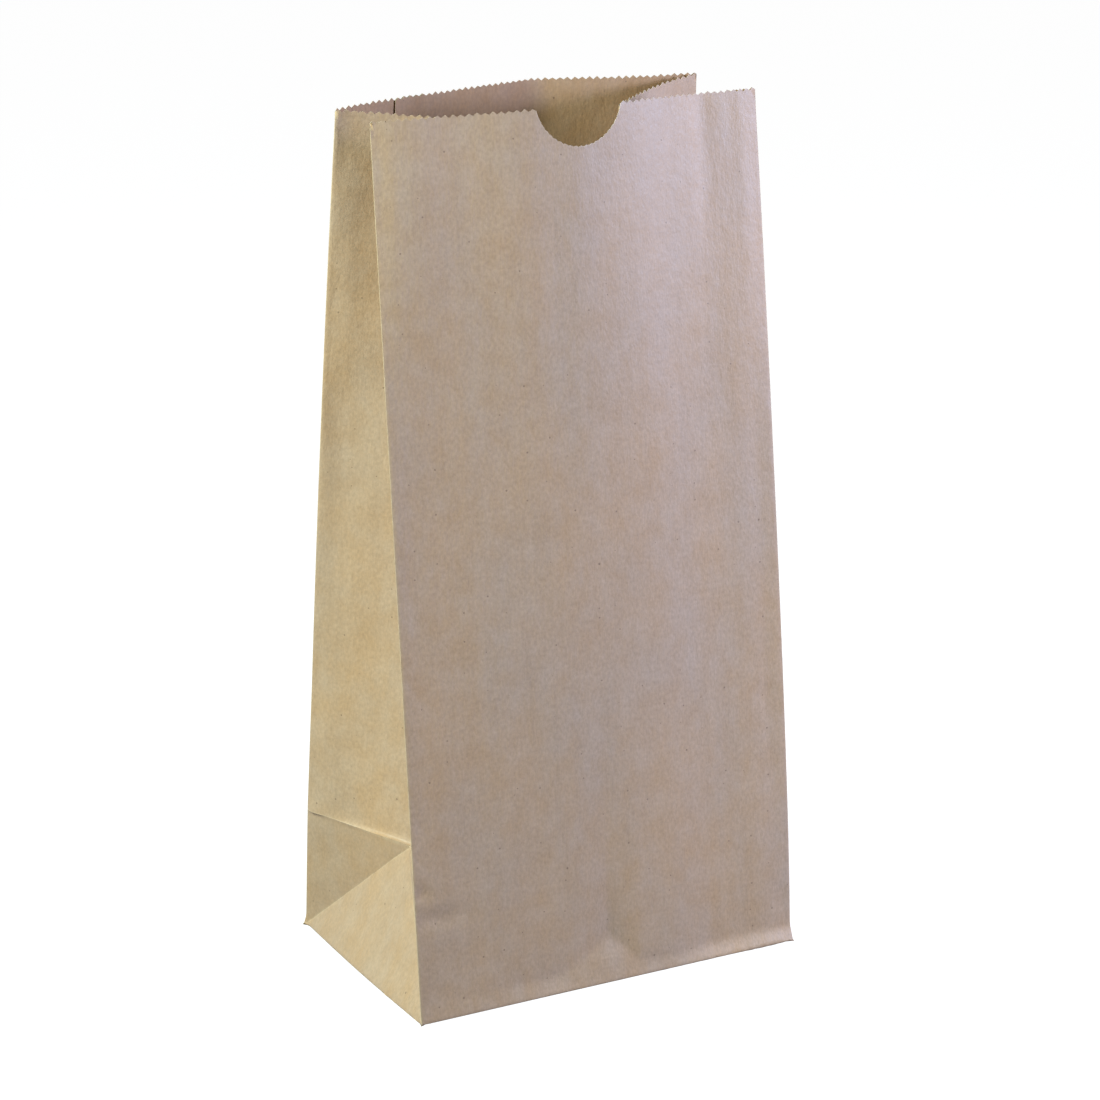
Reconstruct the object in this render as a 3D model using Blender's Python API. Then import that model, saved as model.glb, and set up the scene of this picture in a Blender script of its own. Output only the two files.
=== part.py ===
"""Brown paper lunch bag: a self-opening sack folded from one sheet of kraft paper.

The sheet is drawn flat, panel by panel, with its serrated mouth, its thumb notch and its creases,
and every point of it is then folded to its place. Units are metres and Z is up. The bag stands on
Z = 0 with its front panel towards -Y, and the origin is in the middle of the base.
"""
import bmesh
import bpy
import numpy as np
from math import acos, ceil, cos, pi, sin, sqrt
from mathutils import Vector
from mathutils.geometry import delaunay_2d_cdt

# The bag as it is sold: base, height and the paper's own thickness
WIDTH = 0.134
GUSSET = 0.087
HEIGHT = 0.2745
PAPER = 0.00010

# The mouth: how far the panels have closed towards each other at the two side folds
MOUTH_GAP_LEFT = 0.0262
MOUTH_GAP_RIGHT = 0.0302
MOUTH_MIDDLE_LEFT = -0.0021
MOUTH_MIDDLE_RIGHT = 0.0045
FRONT_PULL_IN = 0.0006
BACK_PULL_IN_LEFT = 0.0018
BACK_PULL_IN_RIGHT = 0.0034

# Corner creases aren't quite straight: they swell out between the base and the mouth
FRONT_SWELL_SIDEWAYS = 0.0004
FRONT_SWELL_FORWARD = 0.0007
BACK_SWELL_SIDEWAYS = 0.0012

# The level crease that folded the base flat still kinks the back panel in and the gussets out
BASE_CREASE_IN = 0.0010
BASE_CREASE_OUT = 0.0008

# The front bows forward, and the back bows away from it with one soft upright ridge
FRONT_BOW = 0.0080
BACK_BOW = 0.0138
BACK_RIDGE_FROM_LEFT = 0.0790
BOW_GROWTH = 1.6
RIDGE_LEFT_SHAPE = 0.65
RIDGE_RIGHT_SHAPE = 1.45

# The mouth is cut by a toothed knife, and a round die cuts the thumb notch
TOOTH_PITCH = 0.0024
TOOTH_DEPTH = 0.0008
NOTCH_RADIUS = 0.0151
NOTCH_DEPTH = 0.0124
NOTCH_FROM_LEFT = 0.0662
NOTCH_STEPS = 18

# Glued laps: the upright seam in the back panel, and the two base flaps over the two side tucks
SEAM_LAP = 0.011
SEAM_FROM_CORNER = 0.024
SEAM_EDGE = 0.0003
BASE_LAP = 0.022
TUCK_LAYERS = 3
FLOOR_LAYERS = 4
FLOOR_MIDDLE_LAYERS = 2
FLOOR_CORNER = 0.0012

# Mesh fineness
COLUMN_STEP = 0.0068
ROW_STEP = 0.0125
FOLD_STEPS = 6
EDGE_CLEARANCE = 0.0016
PATH_STEPS = 120
SHARP_ANGLE = 0.30

HALF_FOLD = GUSSET / 2
GIRTH = 2 * (WIDTH + GUSSET)
VALLEY = HEIGHT - TOOTH_DEPTH


def remove_everything():
    for item in list(bpy.data.objects):
        bpy.data.objects.remove(item, do_unlink=True)


def blend(a, b, share):
    return a + (b - a) * share


def corner_path(foot, mouth, swell, kink):
    """Points of an upright corner crease, even in paper length, from the base to the mouth."""
    share = np.linspace(0, 1, PATH_STEPS + 1)
    plan = np.outer(1 - share, foot) + np.outer(share, mouth)
    plan += np.outer(4 * share * (1 - share), swell)
    plan += np.outer(np.interp(share * HEIGHT, (0, HALF_FOLD, GUSSET), (0, 1, 0)), kink)
    step = HEIGHT / PATH_STEPS
    across = np.linalg.norm(np.diff(plan, axis=0), axis=1)
    rise = np.sqrt(np.maximum(step**2 - across**2, 0))
    return np.column_stack([plan, np.concatenate([[0], np.cumsum(rise)])])


def along(path, length, start=0.0):
    """Point of a path at a paper length above the base."""
    lengths = np.linspace(start, HEIGHT, len(path))
    return np.array([np.interp(length, lengths, path[:, axis]) for axis in range(3)])


def at_distances(centres, distances):
    """The two points that lie at three given distances from three centres."""
    first, second, third = centres
    span = second - first
    width = np.linalg.norm(span)
    x_axis = span / width
    x_third = x_axis @ (third - first)
    rest = third - first - x_third * x_axis
    y_third = np.linalg.norm(rest)
    y_axis = rest / y_third
    z_axis = np.cross(x_axis, y_axis)
    x = (distances[0]**2 - distances[1]**2 + width**2) / (2 * width)
    y = (distances[0]**2 - distances[2]**2 + x_third**2 + y_third**2 - 2 * x_third * x) / (2 * y_third)
    z = sqrt(max(distances[0]**2 - x**2 - y**2, 0))
    foot = first + x * x_axis + y * y_axis
    return foot + z * z_axis, foot - z * z_axis


def fold_path(front, back):
    """The gusset's middle crease, from the apex of its base triangle to the mouth.

    Every point keeps the flat sheet's distances: half a gusset from both corner creases, and one
    step from the point below it.
    """
    side = 1 if front[0][0] > 0 else -1
    apex_reach = HALF_FOLD * sqrt(2)
    centres = (front[0], back[0], along(front, HALF_FOLD))
    choices = at_distances(centres, (apex_reach, apex_reach, HALF_FOLD))
    points = [min(choices, key=lambda point: side * point[0])]
    step = (HEIGHT - HALF_FOLD) / PATH_STEPS
    for index in range(1, PATH_STEPS + 1):
        length = HALF_FOLD + index * step
        centres = (points[-1], along(front, length), along(back, length))
        choices = at_distances(centres, (step, HALF_FOLD, HALF_FOLD))
        points.append(max(choices, key=lambda point: point[2]))
    return np.array(points)


def corner_creases():
    """The four upright corner creases and the two gusset creases of the opened bag."""
    half_width = WIDTH / 2
    half_gap_left = MOUTH_GAP_LEFT / 2
    half_gap_right = MOUTH_GAP_RIGHT / 2
    mouth = {
        "front_left": (-half_width + FRONT_PULL_IN, MOUTH_MIDDLE_LEFT - half_gap_left),
        "front_right": (half_width - FRONT_PULL_IN, MOUTH_MIDDLE_RIGHT - half_gap_right),
        "back_right": (half_width - BACK_PULL_IN_RIGHT, MOUTH_MIDDLE_RIGHT + half_gap_right),
        "back_left": (-half_width + BACK_PULL_IN_LEFT, MOUTH_MIDDLE_LEFT + half_gap_left),
    }
    paths = {}
    for name, top in mouth.items():
        side = -1 if "left" in name else 1
        if "front" in name:
            foot = (side * half_width, -HALF_FOLD)
            swell = (side * FRONT_SWELL_SIDEWAYS, -FRONT_SWELL_FORWARD)
            kink = (0, 0)
        else:
            foot = (side * half_width, HALF_FOLD)
            swell = (side * BACK_SWELL_SIDEWAYS, 0)
            kink = (side * BASE_CREASE_OUT, -BASE_CREASE_IN)
        paths[name] = corner_path(foot, top, swell, kink)
    paths["fold_left"] = fold_path(paths["front_left"], paths["back_left"])
    paths["fold_right"] = fold_path(paths["front_right"], paths["back_right"])
    return paths


def front_bow(share):
    return -FRONT_BOW * sin(pi * share)


def back_bow(share):
    ridge = 1 - BACK_RIDGE_FROM_LEFT / WIDTH
    if share < ridge:
        return BACK_BOW * max(0, share / ridge)**RIDGE_RIGHT_SHAPE
    return BACK_BOW * max(0, (1 - share) / (1 - ridge))**RIDGE_LEFT_SHAPE


def place_face(first, second, bow, across, length):
    """Point of the front or back panel, between its two corner creases."""
    share = across / WIDTH
    point = blend(along(first, length), along(second, length), share)
    foot = blend(first[0], second[0], share)
    lean = point[1] - foot[1]
    push = bow(share) * (length / HEIGHT)**BOW_GROWTH
    if length > 0:
        point[2] += (lean**2 - (lean + push)**2) / (2 * length)
    point[1] += push
    return point


def place_fold(corner, fold, across, length):
    """Point of one half of a gusset, across being its distance from the corner crease."""
    foot = corner[0]
    apex = fold[0]
    if length >= HALF_FOLD:
        return blend(along(corner, length), along(fold, length, HALF_FOLD), across / HALF_FOLD)
    on_diagonal = blend(foot, apex, length / HALF_FOLD)
    if across <= length:
        share = across / length if length > 0 else 0
        return blend(along(corner, length), on_diagonal, share)
    middle_foot = np.array([foot[0], 0, 0])
    up = (apex - middle_foot) * (length / HALF_FOLD)
    return blend(foot, middle_foot, across / HALF_FOLD) + up


def serrated(start, end):
    """Zigzag of whole teeth along the mouth between two places of a panel."""
    teeth = max(1, round((end - start) / TOOTH_PITCH))
    places = np.linspace(start, end, 2 * teeth + 1)
    return [(place, HEIGHT if index % 2 else VALLEY) for index, place in enumerate(places)]


def notched():
    """Mouth line of the front panel, with the thumb notch in its middle."""
    centre_height = HEIGHT + NOTCH_RADIUS - NOTCH_DEPTH
    half_angle = acos((centre_height - VALLEY) / NOTCH_RADIUS)
    angles = np.linspace(-half_angle, half_angle, NOTCH_STEPS + 1)
    middle = NOTCH_FROM_LEFT
    arc = [(middle + NOTCH_RADIUS * sin(a), centre_height - NOTCH_RADIUS * cos(a)) for a in angles]
    return serrated(0, arc[0][0])[:-1] + arc + serrated(arc[-1][0], WIDTH)[1:]


def row_heights():
    """Heights of the mesh rows: even up to the gusset's apex, then even up to the mouth."""
    low = np.linspace(0, HALF_FOLD, FOLD_STEPS + 1)
    count = max(1, ceil((VALLEY - HALF_FOLD) / ROW_STEP))
    return list(low) + list(np.linspace(HALF_FOLD, VALLEY, count + 1)[1:])


def even_columns(width):
    return list(np.linspace(0, width, max(2, round(width / COLUMN_STEP)) + 1))


def seam_lines():
    """Places of the upright seam on the back panel: its free edge and where the step ends."""
    near = WIDTH - SEAM_FROM_CORNER
    return [near - SEAM_LAP, near - SEAM_LAP + SEAM_EDGE, near - SEAM_EDGE, near]


def seam_columns():
    lines = seam_lines()
    spaced = [place for place in even_columns(WIDTH)
              if min(abs(place - line) for line in lines) > EDGE_CLEARANCE]
    return sorted(spaced + lines)


def distance_to_line(point, line):
    """Shortest distance from a flat point to a polyline."""
    place = np.array(point)
    ends = np.array(line)
    starts = ends[:-1]
    runs = np.diff(ends, axis=0)
    shares = np.clip(((place - starts) * runs).sum(1) / (runs**2).sum(1), 0, 1)
    nearest = starts + shares[:, None] * runs
    return np.linalg.norm(nearest - place, axis=1).min()


def below_line(point, line):
    places = np.array(line)
    return point[1] < np.interp(point[0], places[:, 0], places[:, 1])


def flat_panel(columns, mouth, creases=()):
    """Triangles of one flat panel, as three points each, inside its outline and along its creases."""
    rows = row_heights()
    width = columns[-1]
    loop = [(place, 0.0) for place in columns]
    loop += [(width, height) for height in rows[1:-1]]
    loop += list(reversed(mouth))
    loop += [(0.0, height) for height in reversed(rows[1:-1])]
    inner = [(place, height) for place in columns[1:-1] for height in rows[1:-1]]
    inner = [point for point in inner
             if below_line(point, mouth) and distance_to_line(point, mouth) > EDGE_CLEARANCE]
    points = loop + inner
    index = {point: number for number, point in enumerate(points)}
    lines = [(index[crease[k]], index[crease[k + 1]]) for crease in creases
             for k in range(len(crease) - 1)]
    vectors = [Vector(point) for point in points]
    outline = list(range(len(loop)))
    _, _, faces, sources, _, _ = delaunay_2d_cdt(vectors, lines, [outline], 1, 1e-7)
    return [[points[sources[corner][0]] for corner in face] for face in faces]


def gusset_half(mirrored):
    """One half of a gusset, with the diagonal crease of its base triangle."""
    steps = [float(step) for step in np.linspace(0, HALF_FOLD, FOLD_STEPS + 1)]
    mouth = serrated(0, HALF_FOLD)
    heights = [float(height) for height in row_heights()[:FOLD_STEPS + 1]]
    if mirrored:
        diagonal = [(HALF_FOLD - step, height) for step, height in zip(steps, heights)]
        columns = sorted({place for place, _ in diagonal})
        return flat_panel(columns, mouth, [diagonal])
    return flat_panel(steps, mouth, [list(zip(steps, heights))])


class Sheet:
    """Outer face of the folded tube, welded along its creases as it is filled."""

    def __init__(self):
        self.points = []
        self.around = []
        self.height = []
        self.triangles = []
        self.known = {}

    def corner(self, around, height, point):
        turn = round((around % GIRTH) * 1e6) % round(GIRTH * 1e6)
        key = (turn, round(height * 1e6))
        if key not in self.known:
            self.known[key] = len(self.points)
            self.points.append(point)
            self.around.append(around % GIRTH)
            self.height.append(height)
        return self.known[key]

    def add_panel(self, start, triangles, place):
        for triangle in triangles:
            self.triangles.append([self.corner(start + across, height, place(across, height))
                                   for across, height in triangle])

    def loop(self, start, line):
        """Vertices of the sheet along a line of one panel."""
        return [self.corner(start + across, height, None) for across, height in line]


def folded_sheet():
    """All six panels of the tube in their folded places, and the lines of the mouth and base."""
    paths = corner_creases()
    sheet = Sheet()
    fold_mouth = serrated(0, HALF_FOLD)
    front_columns = even_columns(WIDTH)
    back_columns = seam_columns()
    fold_columns = list(np.linspace(0, HALF_FOLD, FOLD_STEPS + 1))

    def front(across, height):
        return place_face(paths["front_left"], paths["front_right"], front_bow, across, height)

    def back(across, height):
        return place_face(paths["back_right"], paths["back_left"], back_bow, across, height)

    def half(corner, fold, mirrored):
        def place(across, height):
            from_corner = HALF_FOLD - across if mirrored else across
            return place_fold(paths[corner], paths[fold], from_corner, height)
        return place

    panels = (
        (WIDTH, flat_panel(front_columns, notched()), front, front_columns, notched()),
        (HALF_FOLD, gusset_half(False), half("front_right", "fold_right", False), fold_columns, fold_mouth),
        (HALF_FOLD, gusset_half(True), half("back_right", "fold_right", True), fold_columns, fold_mouth),
        (WIDTH, flat_panel(back_columns, serrated(0, WIDTH)), back, back_columns, serrated(0, WIDTH)),
        (HALF_FOLD, gusset_half(False), half("back_left", "fold_left", False), fold_columns, fold_mouth),
        (HALF_FOLD, gusset_half(True), half("front_left", "fold_left", True), fold_columns, fold_mouth),
    )
    mouth_loop = []
    base_lines = []
    start = 0.0
    for width, triangles, place, columns, mouth in panels:
        sheet.add_panel(start, triangles, place)
        mouth_loop += sheet.loop(start, mouth)[:-1]
        base_lines.append(sheet.loop(start, [(across, 0.0) for across in columns]))
        start += width
    return sheet, mouth_loop, base_lines, paths


def face_normals(points, triangles):
    corners = points[np.array(triangles)]
    normals = np.cross(corners[:, 1] - corners[:, 0], corners[:, 2] - corners[:, 0])
    return normals / np.linalg.norm(normals, axis=1)[:, None]


def inward_offsets(points, triangles, base_points):
    """Offset of each point that sets every face around it back by the paper's thickness."""
    around = [[] for _ in points]
    for normal, triangle in zip(face_normals(points, triangles), triangles):
        for corner in triangle:
            around[corner].append((*normal, PAPER))
    for corner in base_points:
        around[corner].append((0, 0, -1, FLOOR_LAYERS * PAPER))
    offsets = np.zeros_like(points)
    for corner, planes in enumerate(around):
        planes = np.array(planes)
        offsets[corner] = np.linalg.lstsq(planes[:, :3], -planes[:, 3], rcond=0.12)[0]
    return offsets


def seam_lift(around):
    """How far the glued seam stands out from the back panel, in paper thicknesses."""
    across = around - WIDTH - GUSSET
    return np.interp(across, seam_lines(), (0, 1, 1, 0))


class Shell:
    """Vertices and faces of the closed solid, as they are gathered."""

    def __init__(self):
        self.points = []
        self.faces = []

    def point(self, x, y, z):
        self.points.append((x, y, z))
        return len(self.points) - 1

    def face(self, *corners):
        self.faces.append(list(corners))

    def level_face(self, *corners):
        """Triangles of a near-level polygon, which may have many corners along one straight side."""
        vectors = [Vector(self.points[corner][:2]) for corner in corners]
        outline = list(range(len(corners)))
        _, _, faces, sources, _, _ = delaunay_2d_cdt(vectors, [], [outline], 1, 1e-7)
        for triangle in faces:
            self.face(*(corners[sources[place][0]] for place in triangle))


def add_base_flaps(shell, base_lines):
    """Underside: the back flap pasted over the front flap, and both over the side tucks."""
    front, right_front, right_back, back, left_back, left_front = base_lines
    reach = HALF_FOLD + BASE_LAP / 2
    slope = PAPER / (HALF_FOLD - BASE_LAP / 2)
    lap_y = -BASE_LAP / 2
    tuck_height = TUCK_LAYERS * PAPER
    flap_height = slope * HALF_FOLD
    lap = {}
    apex = {}
    for side in (-1, 1):
        lap_x = side * (WIDTH / 2 - reach)
        apex_x = side * (WIDTH / 2 - HALF_FOLD)
        lap[side] = (shell.point(lap_x, lap_y, 0), shell.point(lap_x, lap_y, PAPER))
        apex[side] = [shell.point(apex_x, 0, height) for height in (0, flap_height, tuck_height)]
    shell.level_face(*back, apex[-1][0], lap[-1][0], lap[1][0], apex[1][0])
    shell.level_face(*front, apex[1][1], lap[1][1], lap[-1][1], apex[-1][1])
    shell.level_face(*right_front, *right_back[1:], apex[1][2])
    shell.level_face(*left_back, *left_front[1:], apex[-1][2])
    shell.face(lap[-1][1], lap[1][1], lap[1][0], lap[-1][0])
    for side, front_corner, back_corner in ((1, front[-1], back[0]), (-1, front[0], back[-1])):
        risers = (
            (front_corner, apex[side][2], apex[side][1]),
            (back_corner, apex[side][0], apex[side][1], apex[side][2]),
            (apex[side][1], apex[side][0], lap[side][0], lap[side][1]),
        )
        for riser in risers:
            shell.face(*(riser if side > 0 else reversed(riser)))


def add_floor(shell, inner_lines):
    """Inside of the base: the two side tucks, with the lower strip of the flaps between them."""
    half_length = WIDTH / 2 - HALF_FOLD - BASE_LAP / 2
    half_depth = HALF_FOLD - PAPER - FLOOR_CORNER
    levels = (FLOOR_LAYERS * PAPER, FLOOR_MIDDLE_LAYERS * PAPER)
    plan = ((-half_length, -half_depth), (half_length, -half_depth),
            (half_length, half_depth), (-half_length, half_depth))
    upper, lower = ([shell.point(x, y, level) for x, y in plan] for level in levels)
    for k in range(4):
        shell.face(upper[k], lower[k], lower[(k + 1) % 4], upper[(k + 1) % 4])
    shell.face(*reversed(lower))
    front, right_front, right_back, back, left_back, left_front = inner_lines
    shell.level_face(*reversed(front), upper[0], upper[1])
    shell.level_face(*reversed(right_front + right_back[1:]), upper[1], upper[2])
    shell.level_face(*reversed(back), upper[2], upper[3])
    shell.level_face(*reversed(left_back + left_front[1:]), upper[3], upper[0])


def bag_shell():
    """The whole bag as one closed solid of folded paper."""
    sheet, mouth_loop, base_lines, _ = folded_sheet()
    nominal = np.array(sheet.points)
    base_points = sorted({corner for line in base_lines for corner in line})
    offsets = inward_offsets(nominal, sheet.triangles, base_points)
    lift = seam_lift(np.array(sheet.around))
    outer = nominal - offsets * lift[:, None]
    outer[base_points, 2] = 0
    shell = Shell()
    for point in outer:
        shell.point(*point)
    for point in nominal + offsets:
        shell.point(*point)
    inner = len(nominal)
    for triangle in sheet.triangles:
        shell.face(*triangle)
        shell.face(*(inner + corner for corner in reversed(triangle)))
    for k, corner in enumerate(mouth_loop):
        following = mouth_loop[(k + 1) % len(mouth_loop)]
        shell.face(corner, inner + corner, inner + following, following)
    add_base_flaps(shell, [list(line) for line in base_lines])
    add_floor(shell, [[inner + corner for corner in line] for line in base_lines])
    return shell


def kraft_paper():
    material = bpy.data.materials.new("kraft_paper")
    material.use_nodes = True
    surface = material.node_tree.nodes["Principled BSDF"]
    surface.inputs["Base Color"].default_value = (0.42, 0.31, 0.21, 1)
    surface.inputs["Roughness"].default_value = 0.85
    surface.inputs["Metallic"].default_value = 0.0
    return material


def add_bag():
    shell = bag_shell()
    mesh = bpy.data.meshes.new("bag")
    mesh.from_pydata(shell.points, [], shell.faces)
    work = bmesh.new()
    work.from_mesh(mesh)
    bmesh.ops.recalc_face_normals(work, faces=work.faces)
    for face in work.faces:
        face.smooth = True
    for edge in work.edges:
        edge.smooth = edge.calc_face_angle(0) < SHARP_ANGLE
    work.to_mesh(mesh)
    work.free()
    bag = bpy.data.objects.new("bag", mesh)
    bag.data.materials.append(kraft_paper())
    bpy.context.scene.collection.objects.link(bag)


remove_everything()
add_bag()
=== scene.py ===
"""Looks of the brown paper lunch bag: one sheet of unbleached kraft, folded and pasted.

The sheet is drawn flat at a fine pitch, panel by panel, with its toothed mouth, its die-cut thumb
notch and its creases. Every flat point is folded to its place as in the model, and the slack of real
paper is then added: soft hills, the pressed heel, the lips of the creases. Sizes are in metres.
"""
from math import acos, cos, pi, radians, sin, sqrt

import bpy
import numpy as np
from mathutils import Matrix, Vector
from mathutils.geometry import delaunay_2d_cdt


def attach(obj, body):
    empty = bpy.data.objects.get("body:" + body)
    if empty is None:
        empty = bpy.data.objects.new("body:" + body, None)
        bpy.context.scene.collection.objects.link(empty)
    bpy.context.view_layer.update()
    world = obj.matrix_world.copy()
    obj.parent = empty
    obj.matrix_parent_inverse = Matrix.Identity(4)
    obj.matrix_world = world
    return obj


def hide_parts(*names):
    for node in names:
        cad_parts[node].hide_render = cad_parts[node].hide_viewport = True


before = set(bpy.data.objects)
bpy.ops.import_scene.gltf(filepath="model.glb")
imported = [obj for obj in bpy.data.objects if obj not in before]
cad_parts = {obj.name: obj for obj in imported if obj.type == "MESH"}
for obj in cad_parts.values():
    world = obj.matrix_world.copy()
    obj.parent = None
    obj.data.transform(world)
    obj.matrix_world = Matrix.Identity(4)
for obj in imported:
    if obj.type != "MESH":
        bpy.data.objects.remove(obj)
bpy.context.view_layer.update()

MM = 0.001

# The bag as it is sold
WIDTH = 134 * MM
GUSSET = 87 * MM
HEIGHT = 274.5 * MM
PAPER = 0.10 * MM
HALF_FOLD = GUSSET / 2

# How far the mouth has closed at the two side folds
MOUTH_GAP_LEFT = 26.2 * MM
MOUTH_GAP_RIGHT = 30.2 * MM
MOUTH_MIDDLE_LEFT = -2.1 * MM
MOUTH_MIDDLE_RIGHT = 4.5 * MM
FRONT_PULL_IN = 0.6 * MM
BACK_PULL_IN_LEFT = 1.8 * MM
BACK_PULL_IN_RIGHT = 3.4 * MM

# Corner creases swell a little, and the level crease of the flat-packed base kinks them
FRONT_SWELL_SIDEWAYS = 0.4 * MM
FRONT_SWELL_FORWARD = 0.7 * MM
BACK_SWELL_SIDEWAYS = 1.2 * MM
BASE_CREASE_IN = 1.0 * MM
BASE_CREASE_OUT = 0.8 * MM

# Plan of the mouth: sine waves across the front, and one soft upright ridge in the back
FRONT_WAVES = (6.9 * MM, 1.2 * MM, -1.5 * MM)
BACK_BOW = 13.8 * MM
BACK_RIDGE_FROM_LEFT = 79 * MM
RIDGE_SOFTNESS = 0.035
BOW_GROWTH = 1.6
RIDGE_LEFT_SHAPE = 0.65
RIDGE_RIGHT_SHAPE = 1.45

# Toothed knife and thumb-notch die
TOOTH_PITCH = 2.4 * MM
TOOTH_DEPTH = 0.8 * MM
TOOTH_WEAR = 0.4
VALLEY = HEIGHT - TOOTH_DEPTH
NOTCH_RADIUS = 15.1 * MM
NOTCH_DEPTH = 12.4 * MM
NOTCH_FROM_LEFT = 66.2 * MM
NOTCH_TOOTH = 1.8 * MM
NOTCH_TOOTH_DEPTH = 0.32 * MM

# Pasted laps
SEAM_LAP = 11 * MM
SEAM_FROM_CORNER = 24 * MM
SEAM_RISE = 0.115 * MM
BASE_LAP = 22 * MM

# Two flat places closer than this are one
EXACT = 0.01 * MM

# Fineness of the drawn sheet
FOLD_STEPS = 30
STEP = HALF_FOLD / FOLD_STEPS
ROW_STEP = 2.4 * MM
FOLD_RADIUS = 0.35 * MM
HEM_RADIUS = 0.7 * MM
CLEARANCE = 0.45 * MM
PATH_STEPS = 240
BASE_STEP = 4 * MM


# Folding


def smooth(share):
    share = np.clip(share, 0, 1)
    return share * share * (3 - 2 * share)


def corner_path(foot, mouth, swell, kink):
    """Points of an upright corner crease, even in paper length, from the base to the mouth."""
    share = np.linspace(0, 1, PATH_STEPS + 1)
    plan = np.outer(1 - share, foot) + np.outer(share, mouth)
    plan += np.outer(4 * share * (1 - share), swell)
    plan += np.outer(np.interp(share * HEIGHT, (0, HALF_FOLD, GUSSET), (0, 1, 0)), kink)
    across = np.linalg.norm(np.diff(plan, axis=0), axis=1)
    rise = np.sqrt(np.maximum((HEIGHT / PATH_STEPS)**2 - across**2, 0))
    return np.column_stack([plan, np.concatenate([[0], np.cumsum(rise)])])


def along(path, length, start=0.0):
    """Points of a path at paper lengths above the base."""
    lengths = np.linspace(start, HEIGHT, len(path))
    return np.column_stack([np.interp(length, lengths, path[:, axis]) for axis in range(3)])


def at_distances(centres, distances):
    """The two points that lie at three given distances from three centres."""
    first, second, third = centres
    span = second - first
    width = np.linalg.norm(span)
    x_axis = span / width
    x_third = x_axis @ (third - first)
    rest = third - first - x_third * x_axis
    y_third = np.linalg.norm(rest)
    y_axis = rest / y_third
    z_axis = np.cross(x_axis, y_axis)
    x = (distances[0]**2 - distances[1]**2 + width**2) / (2 * width)
    y = (distances[0]**2 - distances[2]**2 + x_third**2 + y_third**2 - 2 * x_third * x) / (2 * y_third)
    z = sqrt(max(distances[0]**2 - x**2 - y**2, 0))
    foot = first + x * x_axis + y * y_axis
    return foot + z * z_axis, foot - z * z_axis


def fold_path(front, back):
    """Middle crease of a gusset, found step by step from the flat sheet's own distances."""
    side = 1 if front[0][0] > 0 else -1
    step = (HEIGHT - HALF_FOLD) / PATH_STEPS
    lengths = HALF_FOLD + step * np.arange(PATH_STEPS + 1)
    fronts, backs = along(front, lengths), along(back, lengths)
    reach = HALF_FOLD * sqrt(2)
    choices = at_distances((front[0], back[0], fronts[0]), (reach, reach, HALF_FOLD))
    points = [min(choices, key=lambda point: side * point[0])]
    for index in range(1, PATH_STEPS + 1):
        choices = at_distances((points[-1], fronts[index], backs[index]), (step, HALF_FOLD, HALF_FOLD))
        points.append(max(choices, key=lambda point: point[2]))
    return np.array(points)


def corner_creases():
    """The four upright corner creases and the two gusset creases of the opened bag."""
    half_width = WIDTH / 2
    mouth = {
        "front_left": (-half_width + FRONT_PULL_IN, MOUTH_MIDDLE_LEFT - MOUTH_GAP_LEFT / 2),
        "front_right": (half_width - FRONT_PULL_IN, MOUTH_MIDDLE_RIGHT - MOUTH_GAP_RIGHT / 2),
        "back_right": (half_width - BACK_PULL_IN_RIGHT, MOUTH_MIDDLE_RIGHT + MOUTH_GAP_RIGHT / 2),
        "back_left": (-half_width + BACK_PULL_IN_LEFT, MOUTH_MIDDLE_LEFT + MOUTH_GAP_LEFT / 2),
    }
    paths = {}
    for name, top in mouth.items():
        side = -1 if "left" in name else 1
        if "front" in name:
            swell = (side * FRONT_SWELL_SIDEWAYS, -FRONT_SWELL_FORWARD)
            paths[name] = corner_path((side * half_width, -HALF_FOLD), top, swell, (0, 0))
        else:
            kink = (side * BASE_CREASE_OUT, -BASE_CREASE_IN)
            swell = (side * BACK_SWELL_SIDEWAYS, 0)
            paths[name] = corner_path((side * half_width, HALF_FOLD), top, swell, kink)
    paths["fold_left"] = fold_path(paths["front_left"], paths["back_left"])
    paths["fold_right"] = fold_path(paths["front_right"], paths["back_right"])
    return paths


def front_bow(share):
    return -sum(size * np.sin((k + 1) * pi * share) for k, size in enumerate(FRONT_WAVES))


def back_bow(share):
    """The back panel's bow, with its ridge rounded over a few millimetres."""
    ridge = 1 - BACK_RIDGE_FROM_LEFT / WIDTH
    total = 0
    for shift in np.linspace(-1, 1, 9) * RIDGE_SOFTNESS:
        place = np.clip(share + shift * np.minimum(1, 8 * share * (1 - share)), 0, 1)
        rising = (place / ridge)**RIDGE_RIGHT_SHAPE
        falling = ((1 - place) / (1 - ridge))**RIDGE_LEFT_SHAPE
        total = total + np.where(place < ridge, rising, falling)
    return BACK_BOW * total / 9


def place_face(first, second, bow, across, length):
    """Points of the front or back panel, between its two corner creases."""
    share = (across / WIDTH)[:, None]
    point = along(first, length) * (1 - share) + along(second, length) * share
    foot = first[0][1] * (1 - share[:, 0]) + second[0][1] * share[:, 0]
    lean = point[:, 1] - foot
    push = bow(share[:, 0]) * (length / HEIGHT)**BOW_GROWTH
    point[:, 2] += (lean**2 - (lean + push)**2) / (2 * np.maximum(length, STEP))
    point[:, 1] += push
    return point


def place_fold(corner, fold, across, length):
    """Points of one half of a gusset, across being the distance from its corner crease."""
    foot, apex = corner[0], fold[0]
    middle_foot = np.array([foot[0], 0, 0])
    on_corner = along(corner, length)
    part = (across / HALF_FOLD)[:, None]
    upper = on_corner * (1 - part) + along(fold, length, HALF_FOLD) * part
    rise = (length / HALF_FOLD)[:, None]
    on_diagonal = foot + (apex - foot) * rise
    share = (across / np.maximum(length, 1e-9))[:, None]
    brown = on_corner * (1 - share) + on_diagonal * share
    pale = foot + (middle_foot - foot) * part + (apex - middle_foot) * rise
    below = np.where((across <= length)[:, None], brown, pale)
    return np.where((length >= HALF_FOLD)[:, None], upper, below)


# Drawing the sheet flat


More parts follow.
